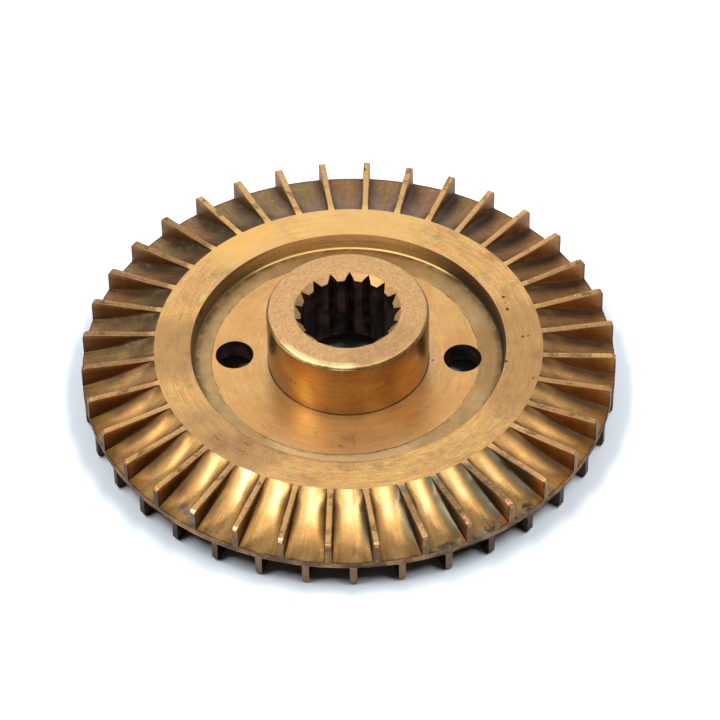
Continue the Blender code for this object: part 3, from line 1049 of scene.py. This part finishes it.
def turned_ends(colours):
    """Vane ends, turned to the outer diameter and worn: golden brown, a little rough."""
    material, add = new_material("worn_brass_vane_ends")
    place = polar_place(add)[0]
    grit, fine, patch = (
        add("ShaderNodeTexNoise", {"Vector": place, "Scale": lumps(size), "Detail": 4.0,
                                   "Roughness": 0.65})
        for size in (0.22 * MM, 0.5 * MM, 1.6 * MM))
    height = add("ShaderNodeSeparateXYZ", {0: place}, "Z")
    side = add("ShaderNodeMath", {"operation": "ABSOLUTE",
                                  0: add("ShaderNodeSeparateXYZ", {0: place}, "X")})
    colour = layer(add, hex_to_linear("866040"), "5E4430", 0.85, (patch, 0.38, 0.6))
    colour = layer(add, colour, "A87C4E", 0.5, (fine, 0.5, 0.65), (height, 5.4 * MM, 5.8 * MM))
    colour = layer(add, colour, "80664A", 0.7, (height, 5.2 * MM, 4.8 * MM))
    # Painted shade on the lower vanes' ends at the sides
    colour = layer(add, colour, "2C2C28", 0.85, (height, 5.2 * MM, 4.8 * MM), (side, 12 * MM, 32 * MM))
    # Painted shade on the vane ends at the left
    left = add("ShaderNodeSeparateXYZ", {0: place}, "X")
    colour = layer(add, colour, "3C2A1C", 0.85, (left, -14 * MM, -36 * MM))
    colour = tinge(add, colour, place, 0.9 * MM, 0.25)
    colour = shade(add, colour, fine, 0.8, 1.2)
    colour = layer(add, colour, "3E2A1A", 0.7, (grit, 0.62, 0.72))
    ink = spots(add, place, 7.5, (-18.6, -46.4, 0.45))
    colour = layer(add, colour, "4A2A90", 0.8, (ink, 0, 0.6))
    grey = spots(add, place, 8.6, (-27.1, -42, 1.6))
    colour = layer(add, colour, "6C6468", 0.8, (grey, 0, 0.6))
    roughness = add("ShaderNodeMapRange", {"Value": fine, "To Min": 0.38, "To Max": 0.58})
    finish(add, colour, roughness, 0.7, (fine, 0.05 * MM), (grit, 0.02 * MM))
    return material


def rim_brass(colours):
    """Edge of the rim web, as cast: dark brown, coarse, with grit baked in."""
    material, add = new_material("as_cast_brass_edge")
    place = polar_place(add)[0]
    fine, patch = (
        add("ShaderNodeTexNoise", {"Vector": place, "Scale": lumps(size), "Detail": 4.0,
                                   "Roughness": 0.65})
        for size in (0.4 * MM, 2.2 * MM))
    colour = layer(add, hex_to_linear("967450"), "523F30", 0.9, (patch, 0.38, 0.6))
    colour = tinge(add, colour, place, 0.9 * MM, 0.3)
    colour = shade(add, colour, fine, 0.7, 1.3)
    roughness = add("ShaderNodeMapRange", {"Value": fine, "To Min": 0.42, "To Max": 0.62})
    finish(add, colour, roughness, 0.75, (fine, 0.08 * MM))
    return material


def floor_paper(colours):
    """Matt grey board with a cool tint, lit until it reads as white."""
    material, add = new_material("matt_grey_board")
    shader = add("ShaderNodeBsdfPrincipled", {"Base Color": colours.floor, "Roughness": 0.9})
    add("ShaderNodeOutputMaterial", {"Surface": shader})
    return material


# Operators

class IMPELLER_OT_casting(bpy.types.Operator):
    """Model the casting with its vanes, channels, recess, hub and bore"""

    bl_idname = "impeller.casting"
    bl_label = "Build the casting"

    def execute(self, context):
        scene = context.scene
        piece = bpy.data.objects.new("impeller_casting", build_casting(scene.impeller_sizes))
        scene.collection.objects.link(piece)
        for make in (cast_brass, faced_brass, turned_web, turned_wall, turned_hub, dull_brass,
                     broached_brass, turned_ends, rim_brass):
            piece.data.materials.append(make(scene.impeller_colours))
        weighted = piece.modifiers.new("flat_faces_stay_flat", "WEIGHTED_NORMAL")
        weighted.keep_sharp = True
        weighted.weight = 80
        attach(piece, BODY)
        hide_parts(NODE)
        return {"FINISHED"}


def studio_air():
    """Light from a pale tent: dim towards the front, bright at the back."""
    world = bpy.data.worlds.new("studio_air")
    world.use_nodes = True
    world.node_tree.nodes.clear()
    add = functools.partial(add_node, world.node_tree)
    heading = add("ShaderNodeTexCoord", {}, "Generated")
    upward = add("ShaderNodeSeparateXYZ", {0: heading}, "Z")
    rearward = add("ShaderNodeSeparateXYZ", {0: heading}, "Y")
    behind = add("ShaderNodeMapRange", {"Value": rearward, "From Max": 0.85, "To Min": 0.06,
                                        "To Max": 0.9})
    strength = add("ShaderNodeMath", {"operation": "MULTIPLY_ADD", "use_clamp": True, 0: upward,
                                      1: 0.1, 2: behind})
    colour = layer(add, hex_to_linear("EEF4FF"), "4F6CB0", 1.0, (upward, 0.8, 0.97))
    air = add("ShaderNodeBackground", {"Color": colour, "Strength": strength})
    add("ShaderNodeOutputWorld", {"Surface": air})
    return world


def add_softbox(scene, name, direction, distance, size, power, colour, lit):
    """A soft light that faces the part from a compass angle and elevation and lights one thing."""
    azimuth, elevation = (math.radians(v) for v in direction)
    place = Vector((math.sin(azimuth) * math.cos(elevation), -math.cos(azimuth) * math.cos(elevation),
                    math.sin(elevation))) * distance
    data = bpy.data.lights.new(name, "AREA")
    data.shape = "RECTANGLE"
    data.size, data.size_y = size
    data.energy = power
    data.color = colour
    item = bpy.data.objects.new(name, data)
    item.location = place
    item.rotation_mode = "QUATERNION"
    item.rotation_quaternion = (-place).to_track_quat("-Z", "Y")
    scene.collection.objects.link(item)
    reach = bpy.data.collections.new(name + "_reach")
    reach.objects.link(lit)
    item.light_linking.receiver_collection = reach


class IMPELLER_OT_stage(bpy.types.Operator):
    """Set up the lit floor, the soft studio light and the camera"""

    bl_idname = "impeller.stage"
    bl_label = "Build the stage"

    def execute(self, context):
        scene = context.scene
        bm = bmesh.new()
        bmesh.ops.create_grid(bm, x_segments=1, y_segments=1, size=4.0)
        mesh = bpy.data.meshes.new("studio_floor")
        bm.to_mesh(mesh)
        bm.free()
        floor = bpy.data.objects.new("studio_floor", mesh)
        scene.collection.objects.link(floor)
        floor.data.materials.append(floor_paper(scene.impeller_colours))

        scene.world = studio_air()
        casting = bpy.data.objects["impeller_casting"]
        warm = (1.0, 0.97, 0.92)
        white = (1.0, 0.98, 0.95)
        add_softbox(scene, "table_light_back", (180, 66), 1.2, (2.0, 0.5), 24.0, white, floor)
        add_softbox(scene, "table_light_left", (-90, 60), 1.2, (0.8, 0.3), 37.0, white, floor)
        add_softbox(scene, "table_light_right", (90, 60), 1.2, (0.8, 0.3), 37.0, white, floor)
        add_softbox(scene, "top_softbox", (0, 77), 1.0, (1.6, 1.05), 13.2, warm, casting)
        add_softbox(scene, "left_softbox", (-62, 44), 1.0, (0.2, 0.3), 2.0, warm, casting)
        add_softbox(scene, "side_softbox", (-86, 52), 1.0, (0.5, 0.35), 1.2, warm, casting)
        add_softbox(scene, "corner_softbox", (-52, 31), 1.0, (0.45, 0.25), 1.2, warm, casting)
        add_softbox(scene, "front_softbox", (20, 42), 1.0, (0.9, 0.5), 0.9, warm, casting)
        add_softbox(scene, "right_softbox", (95, 42), 1.0, (0.9, 0.5), 1.35, warm, casting)
        add_softbox(scene, "far_left_softbox", (-125, 42), 1.0, (0.9, 0.5), 0.8, warm, casting)
        add_softbox(scene, "back_softbox", (184, 37), 1.0, (0.7, 0.45), 0.9, warm, casting)
        scene.view_settings.view_transform = "Standard"
        scene.view_settings.look = "None"
        add_camera(scene)
        return {"FINISHED"}


def add_camera(scene):
    """Long lens looking down on the part at the photograph's angle."""
    look = Vector((0, math.cos(CAMERA_ELEVATION), -math.sin(CAMERA_ELEVATION)))
    right = Vector((1, 0, 0))
    up = right.cross(look)
    place = look * -CAMERA_DISTANCE
    axis = (look * CAMERA_DISTANCE + right * AIM_RIGHT + up * AIM_UP).normalized()
    side = axis.cross(up).normalized()
    top = side.cross(axis)
    side, top = (side * math.cos(CAMERA_ROLL) + top * math.sin(CAMERA_ROLL),
                 top * math.cos(CAMERA_ROLL) - side * math.sin(CAMERA_ROLL))
    turned = Matrix.Rotation(CAMERA_AZIMUTH, 4, "Z")
    pose = Matrix((side, top, -axis)).transposed().to_4x4()
    data = bpy.data.cameras.new("camera")
    data.lens = CAMERA_LENS
    data.sensor_width = 36.0
    data.clip_start = 0.01
    data.clip_end = 100.0
    item = bpy.data.objects.new("camera", data)
    scene.collection.objects.link(item)
    pose.translation = place
    item.matrix_world = Matrix.Translation((0, 0, THICKNESS)) @ turned @ pose
    scene.camera = item


class IMPELLER_PT_panel(bpy.types.Panel):
    """Lists the steps that build the impeller's looks"""

    bl_idname = "IMPELLER_PT_panel"
    bl_label = "Impeller"
    bl_space_type = "VIEW_3D"
    bl_region_type = "UI"
    bl_category = "Impeller"

    def draw(self, context):
        layout = self.layout
        for step in STEPS:
            layout.operator(step.bl_idname)
        for group in (context.scene.impeller_sizes, context.scene.impeller_colours):
            for name in group.__annotations__:
                layout.prop(group, name)


STEPS = (IMPELLER_OT_casting, IMPELLER_OT_stage)
CLASSES = (ImpellerSizes, ImpellerColours) + STEPS + (IMPELLER_PT_panel,)


def register():
    for cls in CLASSES:
        bpy.utils.register_class(cls)
    bpy.types.Scene.impeller_sizes = bpy.props.PointerProperty(type=ImpellerSizes)
    bpy.types.Scene.impeller_colours = bpy.props.PointerProperty(type=ImpellerColours)


def unregister():
    del bpy.types.Scene.impeller_colours
    del bpy.types.Scene.impeller_sizes
    for cls in reversed(CLASSES):
        bpy.utils.unregister_class(cls)


def main():
    register()
    bpy.ops.impeller.casting()
    bpy.ops.impeller.stage()


if __name__ == "__main__":
    main()
